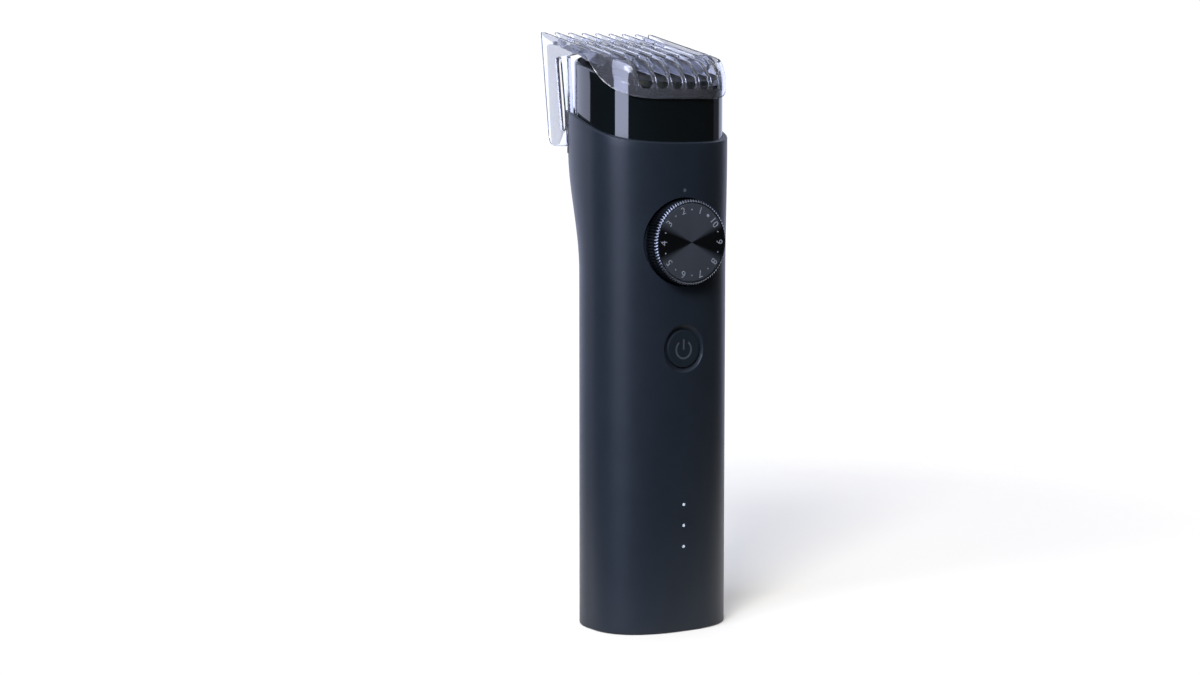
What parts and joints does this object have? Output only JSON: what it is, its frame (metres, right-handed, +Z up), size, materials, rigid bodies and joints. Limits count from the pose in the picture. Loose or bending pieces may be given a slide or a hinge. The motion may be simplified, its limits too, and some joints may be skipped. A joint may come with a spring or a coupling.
{
  "type": "beard trimmer",
  "caption": "Cordless hand-held trimmer with a glossy head, a lift-off clear guide comb set by a numbered dial, and a push power button.",
  "frame": {"origin": "centre of the flat base that the handle stands on, on the handle's axis", "axes": "+Z up the handle towards the cutting head, -Y out of the front face that carries the dial and button, +X to the right seen from the front"},
  "size_m": [0.0406, 0.0478, 0.1605],
  "materials": {
    "handle_plastic": "soft-touch matt graphite",
    "seal_rubber": "black silicone",
    "bright_metal": "plated",
    "board_green": "solder mask",
    "cell_wrap": "shrink sleeve",
    "nickel_strip": "satin",
    "inner_plastic": "moulded",
    "steel": "satin",
    "chip_black": "moulded",
    "led_white": "encapsulated",
    "light_pipe": "clear acrylic",
    "button_plastic": "fine matt",
    "dial_metal": "black anodised, knurled",
    "dial_face_metal": "black anodised, spun",
    "brass": "turned",
    "white_plastic": "natural acetal",
    "mark_grey": "printed",
    "motor_steel": "zinc plated",
    "collar_gloss": "piano black",
    "head_plastic": "moulded black",
    "blade_steel": "ground stainless",
    "comb_clear": "clear polycarbonate"
  },
  "bodies": {
    "housing": {"body_shell": "handle_plastic", "base_cap": "handle_plastic", "base_seal": "seal_rubber", "charging_socket": "bright_metal", "charge_board": "board_green", "battery_cell": "cell_wrap", "battery_contacts": "nickel_strip", "chassis": "inner_plastic", "chassis_screws": "steel", "circuit_board": "board_green", "control_chips": "chip_black", "status_lights": "led_white", "light_pipes": "light_pipe", "tact_switch": "chip_black", "dial_bush": "brass", "detent_leaf": "steel", "index_mark": "mark_grey", "guide_rods": "steel", "motor_can": "motor_steel", "motor_end_cap": "white_plastic", "motor_terminals": "brass", "motor_clip": "inner_plastic", "motor_screws": "steel", "head_collar": "collar_gloss", "collar_seal": "seal_rubber", "head_plate": "head_plastic", "blade_posts": "head_plastic", "fixed_blade": "blade_steel", "blade_screws": "steel", "blade_spring": "steel"},
    "button": {"power_button": "button_plastic", "switch_plunger": "inner_plastic"},
    "dial": {"dial_knob": "dial_metal", "dial_face": "dial_face_metal", "dial_screw": "steel", "dial_shaft": "steel", "cam_disc": "white_plastic"},
    "carriage": {"comb_carriage": "inner_plastic", "follower_pin": "steel"},
    "comb": {"comb_guard": "comb_clear"},
    "rotor": {"motor_shaft": "steel", "eccentric_cam": "white_plastic"},
    "cutter": {"moving_blade": "blade_steel", "drive_yoke": "white_plastic"}
  },
  "joints": [
    {"name": "dial_turn", "type": "hinge", "parent": "housing", "child": "dial", "pos_m": [0, -0.019, 0.1043], "axis": [0, 1, 0], "range_deg": [-36, 306]},
    {"name": "comb_lift", "type": "slide", "parent": "housing", "child": "carriage", "axis": [0, 0, 1], "range_m": [-0.001, 0.0085]},
    {"name": "comb_pull_off", "type": "slide", "parent": "carriage", "child": "comb", "axis": [0, 0, 1], "range_m": [0, 0.04]},
    {"name": "button_press", "type": "slide", "parent": "housing", "child": "button", "axis": [0, 1, 0], "range_m": [0, 0.0004], "stiffness_N_per_m": 1500},
    {"name": "motor_spin", "type": "hinge", "parent": "housing", "child": "rotor", "pos_m": [0, 0.0052, 0.11], "axis": [0, 0, 1], "continuous": true},
    {"name": "cutter_slide", "type": "slide", "parent": "housing", "child": "cutter", "axis": [1, 0, 0], "range_m": [-0.0008, 0.0008]}
  ],
  "couplings": [
    {"joint": "comb_lift", "follows": "dial_turn", "m_per_rad": 0.0015915}
  ]
}
